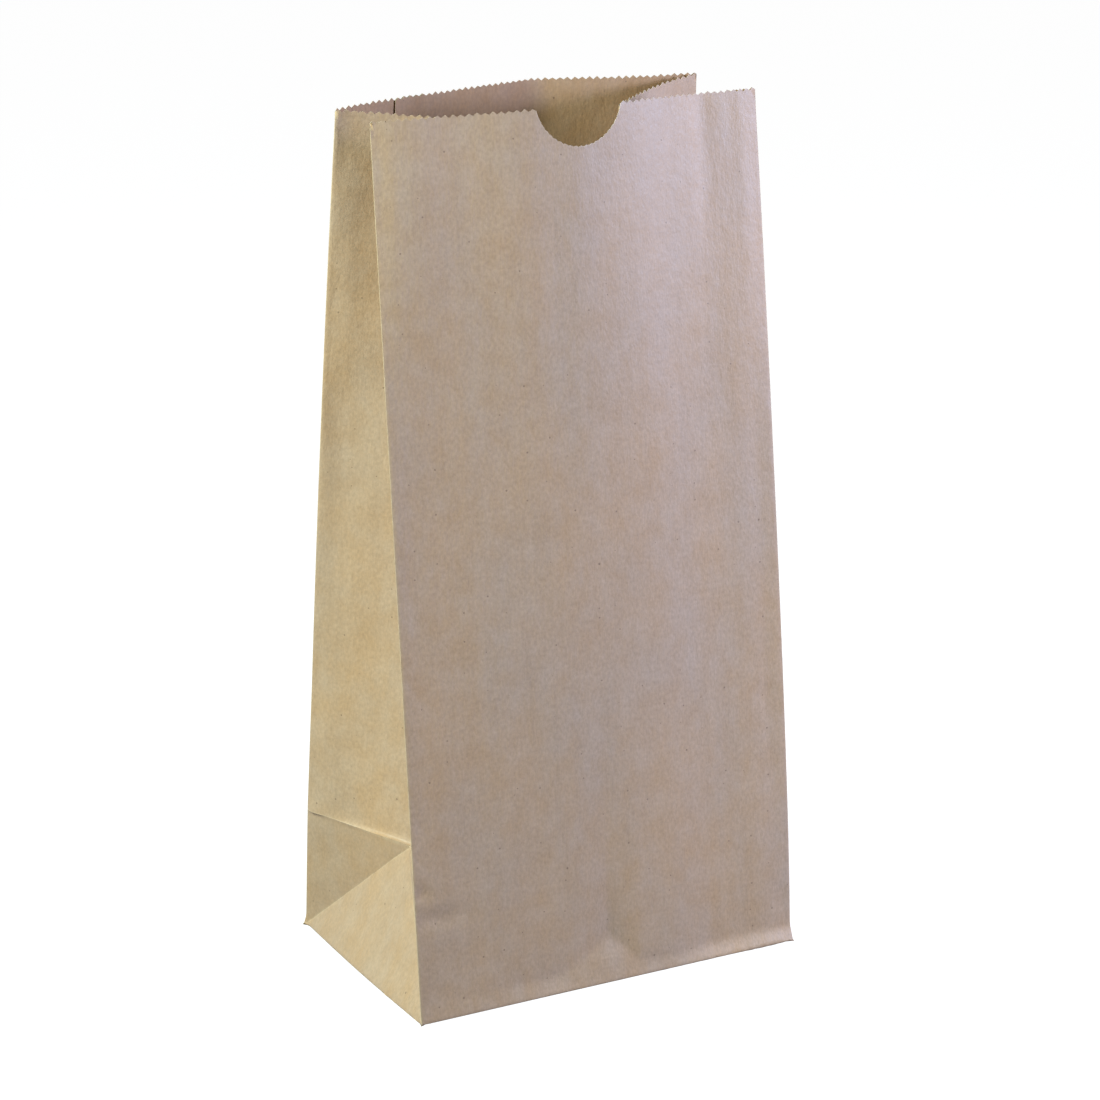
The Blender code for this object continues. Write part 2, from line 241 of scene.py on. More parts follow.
def toothed(start, end, seed):
    """Zigzag of the knife along the mouth between two places of a panel, each tooth a little its own."""
    draw = np.random.default_rng(seed)
    teeth = max(1, round((end - start) / TOOTH_PITCH))
    places = np.linspace(start, end, 2 * teeth + 1)
    line = []
    for index, place in enumerate(places):
        if index % 2:
            line.append((place, HEIGHT - TOOTH_DEPTH * TOOTH_WEAR * draw.random()))
        else:
            line.append((place, VALLEY - TOOTH_DEPTH * TOOTH_WEAR * draw.random() * (0 < index < 2 * teeth)))
    return line


def part_of(line, start, end):
    """The part of a mouth line between two places."""
    places, heights = np.array(line).T
    ends = [(place, float(np.interp(place, places, heights))) for place in (start, end)]
    return [ends[0], *(point for point in line if start < point[0] < end), ends[1]]


def notched():
    """Mouth line of the front panel, with the thumb notch and the fine teeth of its die."""
    centre = HEIGHT + NOTCH_RADIUS - NOTCH_DEPTH
    half_angle = acos((centre - VALLEY) / NOTCH_RADIUS)
    teeth = round(NOTCH_RADIUS * 2 * half_angle / NOTCH_TOOTH)
    arc = []
    for index, angle in enumerate(np.linspace(-half_angle, half_angle, 6 * teeth + 1)):
        bite = NOTCH_TOOTH_DEPTH * (abs(index % 6 - 3) / 3) * smooth(1.6 * (1 - abs(angle) / half_angle))
        radius = NOTCH_RADIUS - bite
        arc.append((NOTCH_FROM_LEFT + radius * sin(angle), centre - radius * cos(angle)))
    return toothed(0, arc[0][0], 1)[:-1] + arc + toothed(arc[-1][0], WIDTH, 2)[1:]


def row_heights():
    """Rows of the sheet: by the step up to the gusset's apex, then even up to the mouth."""
    low = list(np.linspace(0, HALF_FOLD, FOLD_STEPS + 1))
    count = round((VALLEY - HALF_FOLD) / ROW_STEP)
    high = list(np.linspace(HALF_FOLD, VALLEY, count + 1)[1:])
    close = [HEM_RADIUS, HALF_FOLD - FOLD_RADIUS, HALF_FOLD + FOLD_RADIUS]
    return sorted(low + high + close)


def columns_of(start, end):
    """Even columns of a panel, with one more close to each end, where the fold turns."""
    count = max(2, round((end - start) / STEP))
    return sorted([*np.linspace(start, end, count + 1), start + FOLD_RADIUS, end - FOLD_RADIUS])


def distance_to_line(points, line):
    """Shortest distance from each flat point to a polyline."""
    ends = np.array(line)
    starts, runs = ends[:-1], np.diff(ends, axis=0)
    nearest = np.full(len(points), np.inf)
    for start, run in zip(starts, runs):
        share = np.clip((points - start) @ run / (run @ run), 0, 1)
        nearest = np.minimum(nearest, np.linalg.norm(start + share[:, None] * run - points, axis=1))
    return nearest


def flat_panel(columns, mouth, creases=()):
    """Points and triangles of one flat panel, inside its outline and along its creases."""
    rows = row_heights()
    left, right = columns[0], columns[-1]
    loop = [(place, 0.0) for place in columns]
    loop += [(right, height) for height in rows[1:-1]]
    loop += list(reversed(mouth))
    loop += [(left, height) for height in reversed(rows[1:-1])]
    grid = np.array([(place, height) for place in columns[1:-1] for height in rows[1:-1]])
    line = np.array(mouth)
    inside = grid[:, 1] < np.interp(grid[:, 0], line[:, 0], line[:, 1])
    inside &= distance_to_line(grid, mouth) > CLEARANCE * 1.6
    for crease in creases:
        inside &= distance_to_line(grid, crease) > CLEARANCE
    points = loop + [tuple(point) for point in grid[inside]]
    index = {(round(x, 8), round(y, 8)): number for number, (x, y) in enumerate(points)}
    lines = []
    for crease in creases:
        chain = []
        for x, y in crease:
            key = (round(x, 8), round(y, 8))
            if key not in index:
                index[key] = len(points)
                points.append((x, y))
            chain.append(index[key])
        lines += list(zip(chain[:-1], chain[1:]))
    vectors = [Vector(point) for point in points]
    outline = list(range(len(loop)))
    _, _, faces, sources, _, _ = delaunay_2d_cdt(vectors, lines, [outline], 1, 1e-8)
    triangles = np.array([[sources[corner][0] for corner in face] for face in faces])
    return np.array(points), triangles


def half_gusset(mirrored, seed):
    """One half of a gusset, with the diagonal crease of its base triangle."""
    heights = [height for height in row_heights() if height < HALF_FOLD + EXACT]
    diagonal = [(HALF_FOLD - height if mirrored else height, height) for height in heights]
    return flat_panel(columns_of(0, HALF_FOLD), toothed(0, HALF_FOLD, seed), [diagonal])


class Sheet:
    """The folded sheet as it is gathered. Net is each point's place on the flat sheet."""

    def __init__(self):
        self.places = []
        self.net = []
        self.faces = []
        self.count = 0

    def add(self, start, points, triangles, place):
        """Panel that begins at start, measured around the tube from the front's left crease."""
        self.places.append(place(points[:, 0], points[:, 1]))
        self.net.append(points + np.array([start, 0]))
        self.faces.append(triangles + self.count)
        self.count += len(points)

    def joined(self):
        """Places, net and faces, with the panels welded where they share a point of the sheet."""
        net = np.concatenate(self.net)
        keys = np.round(net / (0.02 * MM)).astype(np.int64)
        _, first, inverse = np.unique(keys[:, 0] * 10**7 + keys[:, 1], return_index=True, return_inverse=True)
        return np.concatenate(self.places)[first], net[first], inverse[np.concatenate(self.faces)]


def folded_sheet():
    """The whole sheet, from the seam's inner edge round the tube to its outer edge, and its base."""
    paths = corner_creases()
    sheet = Sheet()

    def front(across, height):
        return place_face(paths["front_left"], paths["front_right"], front_bow, across, height)

    def back(across, height):
        return place_face(paths["back_right"], paths["back_left"], back_bow, across, height)

    def gusset(corner, fold, mirrored):
        def place(across, height):
            return place_fold(paths[corner], paths[fold], HALF_FOLD - across if mirrored else across, height)
        return place

    seam_out = WIDTH - SEAM_FROM_CORNER
    seam_in = seam_out - SEAM_LAP
    outer_lap = sorted(columns_of(0, seam_out) + [seam_in])
    back_mouth = toothed(0, WIDTH, 5)
    sheet.add(0, *flat_panel(columns_of(0, WIDTH), notched()), front)
    sheet.add(WIDTH, *half_gusset(False, 3), gusset("front_right", "fold_right", False))
    sheet.add(WIDTH + HALF_FOLD, *half_gusset(True, 4), gusset("back_right", "fold_right", True))
    sheet.add(WIDTH + GUSSET, *flat_panel(outer_lap, part_of(back_mouth, 0, seam_out)), back)
    sheet.add(-HALF_FOLD, *half_gusset(True, 6), gusset("front_left", "fold_left", True))
    sheet.add(-GUSSET, *half_gusset(False, 7), gusset("back_left", "fold_left", False))
    inner_lap = flat_panel(columns_of(seam_in, WIDTH), part_of(back_mouth, seam_in, WIDTH))
    sheet.add(-GUSSET - WIDTH, *inner_lap, back)
    add_base(sheet, outer_lap, columns_of(seam_in, WIDTH))
    return sheet.joined()


def add_base(sheet, outer_lap, inner_lap):
    """Folded under the bag: two flaps that lap in the middle, and a tuck under each gusset."""
    reach = HALF_FOLD + BASE_LAP / 2
    half_width = WIDTH / 2

    def flat(outline, inner):
        vectors = [Vector(point) for point in outline + inner]
        loop = list(range(len(outline)))
        _, _, faces, sources, _, _ = delaunay_2d_cdt(vectors, [], [loop], 1, 1e-8)
        triangles = np.array([[sources[corner][0] for corner in face] for face in faces])
        return np.array(outline + inner), triangles

    def grid(width, inside):
        places = np.arange(BASE_STEP, width, BASE_STEP)
        depths = [-HEM_RADIUS, *-np.arange(1.9 * MM, reach - MM, BASE_STEP)]
        return [(float(x), float(y)) for x in places for y in depths if inside(x, -y)]

    def rim(columns):
        return [(float(place), 0.0) for place in columns]

    def tuck(side, y_of):
        def place(across, height):
            x = side * (half_width + height)
            return np.column_stack([x, y_of(across), 3 * PAPER * smooth(-height / (4 * MM))])
        return place

    def flap(x_of, side, lift):
        def place(across, height):
            y = side * (HALF_FOLD + height)
            return np.column_stack([x_of(across), y, lift * smooth(-height / (30 * MM))])
        return place

    def trapezoid(columns, left, right):
        """Flap below part of a panel: left and right are its corners at the flap's end."""
        outline = rim(columns) + [right, left]
        low, high = columns[0], columns[-1]

        def inside(x, depth):
            floor = max(low, low + (left[0] - low) * depth / reach)
            ceiling = min(high, high + (right[0] - high) * depth / reach)
            return floor + 2 * MM < x < ceiling - 2 * MM
        return flat(outline, grid(WIDTH, inside))

    front = trapezoid(columns_of(0, WIDTH), (reach, -reach), (WIDTH - reach, -reach))
    sheet.add(0, *front, flap(lambda across: across - half_width, -1, 1.5 * PAPER))
    seam_out, seam_in = outer_lap[-1], inner_lap[0]
    back = trapezoid(outer_lap, (reach, -reach), (min(seam_out, WIDTH - reach), -reach))
    sheet.add(WIDTH + GUSSET, *back, flap(lambda across: half_width - across, 1, 0))
    outline = rim(inner_lap) + [(seam_in, -(WIDTH - seam_in))]
    rest = flat(outline, [])
    sheet.add(-GUSSET - WIDTH, *rest, flap(lambda across: half_width - across, 1, 0.5 * PAPER))
    for start, side, y_of in (
            (WIDTH, 1, lambda across: across - HALF_FOLD),
            (-GUSSET, -1, lambda across: HALF_FOLD - across)):
        first = columns_of(0, HALF_FOLD)
        columns = first + [HALF_FOLD + place for place in first[1:]]
        outline = rim(columns) + [(HALF_FOLD, -HALF_FOLD)]
        inner = grid(GUSSET, lambda x, depth: min(x, GUSSET - x) - depth > 2 * MM)
        sheet.add(start, *flat(outline, inner), tuck(side, y_of))


# The slack of real paper


CORNERS = (-GUSSET, 0, WIDTH, WIDTH + GUSSET)
MIDDLE_FOLDS = (-HALF_FOLD, WIDTH + HALF_FOLD)
LATTICE = 97

# Pressed heel of the front: places from the left crease, height of its line and how far it is set back
HEEL_PLACES = np.array((0, 25, 48, 56, 66.8, 77.5, 90, 97, 104, 120, 134)) * MM
HEEL_LINE = np.array((6.5, 6.3, 5.8, 8.5, 15.4, 4.9, 4.2, 4.6, 4.7, 5.0, 4.8)) * MM
HEEL_DEPTH = np.array((0.2, 0.7, 1.4, 1.7, 2.6, 0.9, 0.7, 1.2, 1.9, 2.1, 1.9)) * MM
HEEL_FADE = 34 * MM
HEEL_WRAP = 7 * MM

# Lip of the crease across the side, its lifted corner, and the belly of the side's bottom edge
LIP = 0.42 * MM
LIP_HEIGHT = 2.8 * MM
LIFTED_CORNER = 1.1 * MM
BELLY = 0.9 * MM
BELLY_HEIGHT = 16 * MM
EAR = 1.0 * MM
EAR_HEIGHT = 3.5 * MM


# Soft upright ridges and valleys of the front: place from the left crease, half width, where each
# begins and is full above the base, and how far it stands out
FRONT_FLUTES = (
    (113 * MM, 4 * MM, 215 * MM, 268 * MM, -0.55 * MM),
    (123 * MM, 8 * MM, 250 * MM, 190 * MM, 0.5 * MM),
    (13 * MM, 9 * MM, 185 * MM, 262 * MM, 0.8 * MM),
    (57 * MM, 6 * MM, 120 * MM, 250 * MM, -0.3 * MM),
    (88 * MM, 10 * MM, 60 * MM, 170 * MM, 0.2 * MM),
)
# Dents of the front: place from the left crease, height, half width, half height and depth
DENTS = (
    (2.5 * MM, 42.0 * MM, 3.0 * MM, 2.2 * MM, 0.45 * MM),
    (8.0 * MM, 33.0 * MM, 9.0 * MM, 2.8 * MM, 0.55 * MM),
    (3.0 * MM, 63.0 * MM, 4.0 * MM, 3.5 * MM, 0.20 * MM),
    (127.0 * MM, 84.0 * MM, 4.0 * MM, 2.5 * MM, 0.30 * MM),
    (130.0 * MM, 15.0 * MM, 3.0 * MM, 4.0 * MM, 0.25 * MM),
)
# The gusset's back half hangs slack towards the mouth
GUSSET_SAG = 2.6 * MM
SAG_FROM = 150 * MM


def hills(across, height, wide, tall, seed):
    """Smooth random hills about one unit high, wide by tall being the spacing of their tops."""
    lattice = np.random.default_rng(seed).uniform(-1, 1, (LATTICE, LATTICE))
    total = 0
    parts = []
    for value in (across / wide, height / tall):
        whole = np.floor(value).astype(int)
        part = value - whole
        weights = ((1 - part)**3, 3 * part**3 - 6 * part**2 + 4,
                   -3 * part**3 + 3 * part**2 + 3 * part + 1, part**3)
        parts.append((whole, weights))
    for a in range(4):
        for b in range(4):
            cell = lattice[(parts[0][0] + a) % LATTICE, (parts[1][0] + b) % LATTICE]
            total = total + parts[0][1][a] * parts[1][1][b] * cell
    return total / 36 * 2


def to_nearest(values, lines):
    return np.min([np.abs(values - line) for line in lines], axis=0)


class Net:
    """Where each point lies on the flat sheet, and how far from the sheet's folds."""

    def __init__(self, net):
        self.around, self.height = net.T
        self.to_corner = to_nearest(self.around, CORNERS)
        self.to_fold = to_nearest(self.around, CORNERS + MIDDLE_FOLDS)
        self.front = (self.around >= 0) & (self.around <= WIDTH)
        left = (self.around > -GUSSET) & (self.around < 0)
        right = (self.around > WIDTH) & (self.around < WIDTH + GUSSET)
        self.gusset = left | right
        from_back = np.where(left, self.around + GUSSET, WIDTH + GUSSET - self.around)
        self.back_half = self.gusset & (from_back <= HALF_FOLD)
        self.from_back = from_back
        self.base = self.height < 0

    def to_crease(self):
        """Distance to the pressed creases: the diagonals and the level crease of the base, and the heel."""
        low = self.gusset & (self.height <= HALF_FOLD)
        diagonal = np.where(low, np.abs(self.height - self.to_corner) / sqrt(2), 1)
        level = np.where(self.back_half | ~(self.gusset | self.front), np.abs(self.height - HALF_FOLD), 1)
        heel = np.where(self.front, np.abs(self.height - np.interp(self.around, HEEL_PLACES, HEEL_LINE)), 1)
        return np.minimum.reduce([diagonal, level, heel + 0.3 * MM])

    def to_cut(self):
        """Distance to the toothed mouth and the thumb notch."""
        centre = HEIGHT + NOTCH_RADIUS - NOTCH_DEPTH
        notch = np.hypot(self.around - NOTCH_FROM_LEFT, self.height - centre) - NOTCH_RADIUS
        return np.minimum(HEIGHT - self.height, np.where(self.front, np.abs(notch), 1))


def set_back(net):
    """How far the pressed heel sets the front back, beside and above its line."""
    across = np.clip(net.around, 0, WIDTH)
    line = np.interp(across, HEEL_PLACES, HEEL_LINE)
    depth = np.interp(across, HEEL_PLACES, HEEL_DEPTH)
    above = np.exp(-np.maximum(net.height - line, 0) / HEEL_FADE)
    shape = np.where(net.height < line, np.clip(net.height, 0, None) / line, above)
    outside = np.maximum(np.maximum(-net.around, net.around - WIDTH), 0)
    return depth * shape * (1 - smooth(outside / HEEL_WRAP)) * ~net.base


def swelling(net):
    """How far each point stands out from the folded plane: hills, lips, the seam."""
    a, t = net.around, net.height
    calm = smooth(net.to_fold / (7 * MM))
    still = smooth(net.to_fold / (2.5 * MM))
    low = smooth(t / (9 * MM))
    face = 0.6 * hills(a, t, 34 * MM, 58 * MM, 11) * calm
    face += (0.07 * hills(a, t, 8.5 * MM, 95 * MM, 12) + 0.09 * hills(a, t, 8 * MM, 11 * MM, 13)) * still
    side = 0.75 * hills(a, t, 22 * MM, 30 * MM, 14) * calm
    side += (0.24 * hills(a, t, 8 * MM, 9.5 * MM, 15) + 0.08 * hills(a, t, 3.5 * MM, 5 * MM, 16)) * still
    out = np.where(net.gusset, side, face) * low * MM
    for place, width, start, full, size in FRONT_FLUTES:
        across = np.exp(-((a - place) / width)**2) * smooth(np.minimum(a, WIDTH - a) / (5 * MM))
        out += np.where(net.front, size * across * smooth((t - start) / (full - start)), 0)
    for place, level, width, tall, depth in DENTS:
        dent = depth * np.exp(-((a - place) / width)**2 - ((t - level) / tall)**2)
        out -= np.where(net.front, dent * smooth(net.to_corner / (1.2 * MM)), 0)
    across = np.sin(pi * np.clip(net.from_back / HALF_FOLD, 0, 1))
    sag = GUSSET_SAG * across * smooth((t - SAG_FROM) / (HEIGHT - SAG_FROM))
    out -= np.where(net.back_half, sag, 0)
    over = t - HALF_FOLD
    lip = LIP * (0.6 + 0.4 * hills(a, 0 * t, 3.5 * MM, MM, 17)) * (1 - smooth(over / LIP_HEIGHT)) * (over >= -EXACT)
    corner = LIFTED_CORNER * (1 - smooth(net.from_back / (9 * MM))) * (1 - smooth(over / (7 * MM))) * (over >= -EXACT)
    out += np.where(net.back_half, lip + corner * still, 0)
    seam_out = WIDTH + GUSSET + WIDTH - SEAM_FROM_CORNER
    out += SEAM_RISE * smooth((a - seam_out + SEAM_LAP + MM) / (1.4 * MM))
    return np.where(net.base, 0, out)


def normals_at(places, faces):
    corners = places[faces]
    across = np.cross(corners[:, 1] - corners[:, 0], corners[:, 2] - corners[:, 0])
    normals = np.zeros_like(places)
    for k in range(3):
        np.add.at(normals, faces[:, k], across)
    return normals / np.linalg.norm(normals, axis=1)[:, None]


def rounded(places, net, faces):
    """Turns the sharp corner folds and base folds into small rounds."""
    pairs = np.concatenate([faces[:, [0, 1]], faces[:, [1, 2]], faces[:, [2, 0]]])
    pairs = np.concatenate([pairs, pairs[:, ::-1]])
    faces_edge = (net.height > EXACT) & (net.to_fold < EXACT)
    turning = (np.abs(net.height) < EXACT) & (net.to_corner > EXACT)
    families = (
        (faces_edge, np.abs(net.to_fold - FOLD_RADIUS) < EXACT, (1, 1, 0)),
        (turning & ~net.gusset, np.abs(np.abs(net.height) - HEM_RADIUS) < EXACT, (0, 1, 1)),
        (turning & net.gusset, np.abs(np.abs(net.height) - HEM_RADIUS) < EXACT, (1, 0, 1)),
    )
    moved = places.copy()
    for on, near, keep in families:
        some = pairs[on[pairs[:, 0]] & near[pairs[:, 1]]]
        total = np.zeros_like(places)
        count = np.zeros(len(places))
        np.add.at(total, some[:, 0], places[some[:, 1]])
        np.add.at(count, some[:, 0], 1)
        chosen = count > 1
        pull = total[chosen] / count[chosen, None] - places[chosen]
        moved[chosen] += 0.6 * pull * np.array(keep)
    return moved


def slackened(places, net, faces):
    """The folded sheet with its heel, its belly at the bottom of each side, its ears and its hills."""
    places = places.copy()
    places[:, 1] += set_back(net)
    side = np.sign(places[:, 0])
    up = 1 - smooth(net.height / BELLY_HEIGHT)
    belly = BELLY * np.sin(pi * np.clip(net.from_back / GUSSET, 0, 1)) * up
    places[:, 0] += side * np.where(net.gusset & ~net.base, belly, 0)
    to_back_corner = np.minimum(np.abs(net.around + GUSSET), np.abs(net.around - WIDTH - GUSSET))
    ear = EAR * (1 - smooth(to_back_corner / (3 * MM))) * (1 - smooth(net.height / EAR_HEIGHT))
    places[:, 0] += side * np.where(net.base, 0, ear)
    out = swelling(net)
    moved = places + normals_at(places, faces) * out[:, None]
    return rounded(moved, net, faces)


def thick(places, faces):
    """The sheet's outer side, its inner side one thickness in, and the cut edge between the two."""
    normals = normals_at(places, faces)
    corners = places[faces]
    flat = np.cross(corners[:, 1] - corners[:, 0], corners[:, 2] - corners[:, 0])
    flat /= np.linalg.norm(flat, axis=1)[:, None]
    facing = np.zeros(len(places))
    count = np.zeros(len(places))
    for k in range(3):
        np.add.at(facing, faces[:, k], (normals[faces[:, k]] * flat).sum(axis=1))
        np.add.at(count, faces[:, k], 1)
    depth = PAPER / np.clip(facing / count, 0.6, 1)
    inner = places - normals * depth[:, None]
    sides = np.concatenate([faces[:, [0, 1]], faces[:, [1, 2]], faces[:, [2, 0]]])
    known = {tuple(side) for side in sides.tolist()}
    size = len(places)
    rim = [(b, a, a + size, b + size) for a, b in sides.tolist() if (b, a) not in known]
    return np.concatenate([places, inner]), [*faces.tolist(), *(faces[:, ::-1] + size).tolist(), *rim], len(rim)


def add_bag():
    """The bag as one mesh: the slack sheet, given the paper's thickness."""
    places, flat, faces = folded_sheet()
    net = Net(flat)
    points, polygons, rim = thick(slackened(places, net, faces), faces)
    mesh = bpy.data.meshes.new("paper_bag")
    mesh.from_pydata(points.tolist(), [], polygons)
    mesh.update()
    smooth_faces = np.ones(len(polygons), bool)
    smooth_faces[len(polygons) - rim:] = False
    mesh.polygons.foreach_set("use_smooth", smooth_faces)
    paper_side = np.repeat((0, 1, 2), (len(faces), len(faces), rim))
    mesh.polygons.foreach_set("material_index", paper_side)
    for name, columns in (
            ("net", (net.around, net.height, 0 * net.height)),
            ("folds", (net.to_corner, net.to_crease(), net.to_cut()))):
        layer = mesh.attributes.new(name, "FLOAT_VECTOR", "POINT")
        values = np.column_stack(columns)
        layer.data.foreach_set("vector", np.concatenate([values, values]).astype(np.float32).ravel())
    ends = np.empty(len(mesh.edges) * 2, int)
    mesh.edges.foreach_get("vertices", ends)
    pressed = np.tile((net.to_crease() < EXACT) & ~net.front, 2)
    ends = ends.reshape(-1, 2)
    sharp = mesh.attributes.new("sharp_edge", "BOOLEAN", "EDGE")
    cut = (ends[:, 0] < len(places)) != (ends[:, 1] < len(places))
    sharp.data.foreach_set("value", pressed[ends].all(axis=1) | cut)
    bag = bpy.data.objects.new("paper_bag", mesh)
    bpy.context.scene.collection.objects.link(bag)
    for finish in (kraft_outside, kraft_inside, kraft_edge):
        mesh.materials.append(finish())
    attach(bag, "root")
    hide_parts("bag")
    return bag


# Kraft paper


PAPER_IOR = 1.45
SPECK_PITCH = 7.5 * MM
SPECK_SIZE = 0.33 * MM

# Sockets of the colour mix node
MIX_SHARE, MIX_FIRST, MIX_SECOND, MIX_RESULT = 0, 6, 7, 2


def colour(code):
    """sRGB hex colour as linear light."""
    parts = [int(code[k:k + 2], 16) / 255 for k in (1, 3, 5)]
    return (*(part / 12.92 if part <= 0.04045 else ((part + 0.055) / 1.055)**2.4 for part in parts), 1)


def add(tree, kind, inputs=(), **settings):
    """Adds a node with its settings; inputs are pairs of a socket's name or place and its value or link."""
    made = tree.nodes.new(kind)
    for name, value in settings.items():
        setattr(made, name, value)
    for socket, value in inputs:
        if isinstance(value, bpy.types.NodeSocket):
            tree.links.new(value, made.inputs[socket])
        else:
            made.inputs[socket].default_value = value
    return made


def mottling(tree, place, wide, tall, swing, detail=3.0):
    """Random clouds of the sheet's fibre, wide by tall being their grain, from -swing to swing."""
    across = add(tree, "ShaderNodeVectorMath", ((0, place), (1, (1 / wide, 1 / tall, 1))), operation="MULTIPLY")
    cloud = add(tree, "ShaderNodeTexNoise", (
        ("Vector", across.outputs[0]), ("Scale", 1.0), ("Detail", detail), ("Roughness", 0.6)), noise_dimensions="2D")
    return add(tree, "ShaderNodeMapRange", (
        ("Value", cloud.outputs["Fac"]), ("From Min", 0.28), ("From Max", 0.72),
        ("To Min", -swing), ("To Max", swing))).outputs["Result"]


def speckled(tree, place, tone, dark):
    """Specks of bark, about 0.4 mm, one to every square 8 mm wide or so."""
    across = add(tree, "ShaderNodeVectorMath", ((0, place), (1, (1 / SPECK_PITCH, 1 / SPECK_PITCH, 1))),
                 operation="MULTIPLY")
    cells = add(tree, "ShaderNodeTexVoronoi", (("Vector", across.outputs[0]), ("Scale", 1.0)), voronoi_dimensions="2D")
    draw = add(tree, "ShaderNodeSeparateColor", ((0, cells.outputs["Color"]), ))
    size = add(tree, "ShaderNodeMapRange", (
        ("Value", draw.outputs[0]), ("From Min", 0.45), ("From Max", 1.0),
        ("To Min", 0.0), ("To Max", SPECK_SIZE / SPECK_PITCH)))
    speck = add(tree, "ShaderNodeMath", ((0, cells.outputs["Distance"]), (1, size.outputs["Result"])),
                operation="LESS_THAN")
    share = add(tree, "ShaderNodeMath", ((0, speck.outputs[0]), (1, 0.55)), operation="MULTIPLY")
    mix = add(tree, "ShaderNodeMix", ((MIX_SHARE, share.outputs[0]), (MIX_FIRST, tone), (MIX_SECOND, colour(dark))),
              data_type="RGBA")
    return mix.outputs[MIX_RESULT]


def pale_fibres_and_painted_highlight(tree, tone, distance, reach, strength, patchy, pale_fibre_and_highlight_tone):
    """Broken fibres that show pale within reach of a fold or a cut, in patches, together with a painted highlight
    there: the same paler colour also stands in for the light that catches the folds, creases and cut edges.
    """
    near = add(tree, "ShaderNodeMapRange", (
        ("Value", distance), ("From Min", 0.0), ("From Max", reach), ("To Min", strength), ("To Max", 0.0)),
        interpolation_type="SMOOTHSTEP")
    share = add(tree, "ShaderNodeMath", ((0, near.outputs["Result"]), (1, patchy)), operation="MULTIPLY")
    mix = add(tree, "ShaderNodeMix", ((MIX_SHARE, share.outputs[0]), (MIX_FIRST, tone), (MIX_SECOND, colour(pale_fibre_and_highlight_tone))),
              data_type="RGBA")
    return mix.outputs[MIX_RESULT]


def kraft(name, brown, grey, pale_fibre_and_highlight_tone, dark, roughness):
    """Unbleached kraft, machine-glazed: cloudy fibre formation, long fibres up the bag, a few specks of
    bark, and folds where the broken fibres show pale, partly real and partly a painted highlight."""
    material = bpy.data.materials.new(name)
    material.use_nodes = True
    tree = material.node_tree
    surface = tree.nodes["Principled BSDF"]
    place = add(tree, "ShaderNodeAttribute", attribute_name="net").outputs["Vector"]
    folds = add(tree, "ShaderNodeAttribute", attribute_name="folds").outputs["Vector"]
    to_fold, to_crease, to_cut = add(tree, "ShaderNodeSeparateXYZ", (("Vector", folds), )).outputs

    # Soft clouds 20 to 60 mm across, from a redder brown to a greyer one
    clouds = mottling(tree, place, 26 * MM, 62 * MM, 1.0, 4.0)
    share = add(tree, "ShaderNodeMapRange", (("Value", clouds), ("From Min", -1.0), ("From Max", 1.0)))
    tone = add(tree, "ShaderNodeMix", (
        (MIX_SHARE, share.outputs["Result"]), (MIX_FIRST, colour(brown)), (MIX_SECOND, colour(grey))),
        data_type="RGBA").outputs[MIX_RESULT]
    # Blotches of 6 to 10 mm, flocs near 1 mm where fibres settled on the wire, and streaks up the bag.
    # Single fibres are 0.03 mm wide, drawn at 0.35 mm so that they show
    blotches = mottling(tree, place, 6.5 * MM, 8.5 * MM, 0.028)
    flocs = mottling(tree, place, 1.0 * MM, 1.3 * MM, 0.09)
    fibres = mottling(tree, place, 0.35 * MM, 2.8 * MM, 0.035, 2.0)
    streaks = mottling(tree, place, 3.1 * MM, 60 * MM, 0.022)
    value = 1.0
    for pattern in (blotches, flocs, fibres, streaks):
        value = add(tree, "ShaderNodeMath", ((0, value), (1, pattern)), operation="ADD").outputs[0]
    rich = add(tree, "ShaderNodeMapRange", (
        ("Value", blotches), ("From Min", -0.028), ("From Max", 0.028), ("To Min", 1.06), ("To Max", 0.94)))
    tone = add(tree, "ShaderNodeHueSaturation", (
        ("Saturation", rich.outputs["Result"]), ("Value", value), ("Color", tone))).outputs[0]
    tone = speckled(tree, place, tone, dark)
    # Patches of the paler colour at folds, creases and cuts: pale broken fibres and a painted highlight
    pale_fibre_and_highlight_patches = mottling(tree, place, 1.2 * MM, 3.5 * MM, 0.5, 2.0)
    patchy = add(tree, "ShaderNodeMath", ((0, pale_fibre_and_highlight_patches), (1, 0.7)), operation="ADD", use_clamp=True).outputs[0]
    # Painted highlight, mixed with real pale broken fibres, along the corner folds, the pressed creases with the heel
    # line, and the toothed cut
    for distance, reach, strength in (
            (to_fold, 0.55 * MM, 0.75), (to_crease, 0.6 * MM, 0.45), (to_cut, 0.7 * MM, 0.35)):
        tone = pale_fibres_and_painted_highlight(tree, tone, distance, reach, strength, patchy, pale_fibre_and_highlight_tone)
    tree.links.new(tone, surface.inputs["Base Color"])

    # Machine-glazed side: a soft even shine, broken by the fibres
    shine = add(tree, "ShaderNodeMath", ((0, mottling(tree, place, 1.0 * MM, 1.3 * MM, 0.05)), (1, roughness)),
                operation="ADD")
    tree.links.new(shine.outputs[0], surface.inputs["Roughness"])
    surface.inputs["IOR"].default_value = PAPER_IOR
    # Cockle of 0.5 to 3 mm, a few hundredths of a millimetre deep
    fine = add(tree, "ShaderNodeBump", (
        ("Strength", 0.5), ("Distance", 0.05 * MM), ("Height", mottling(tree, place, 0.7 * MM, 1.4 * MM, 0.5))))
    cockle = add(tree, "ShaderNodeBump", (
        ("Strength", 0.5), ("Distance", 0.10 * MM), ("Height", mottling(tree, place, 2.6 * MM, 4.2 * MM, 0.5, 2.0)),
        ("Normal", fine.outputs[0])))
    tree.links.new(cockle.outputs[0], surface.inputs["Normal"])
    return material


def kraft_outside():
    # The fourth tone is the pale of broken fibres and of the painted highlight at folds, creases and cuts
    return kraft("kraft_outside", "#B89A7A", "#B39B83", "#CFBB9C", "#5E4A38", 0.5)


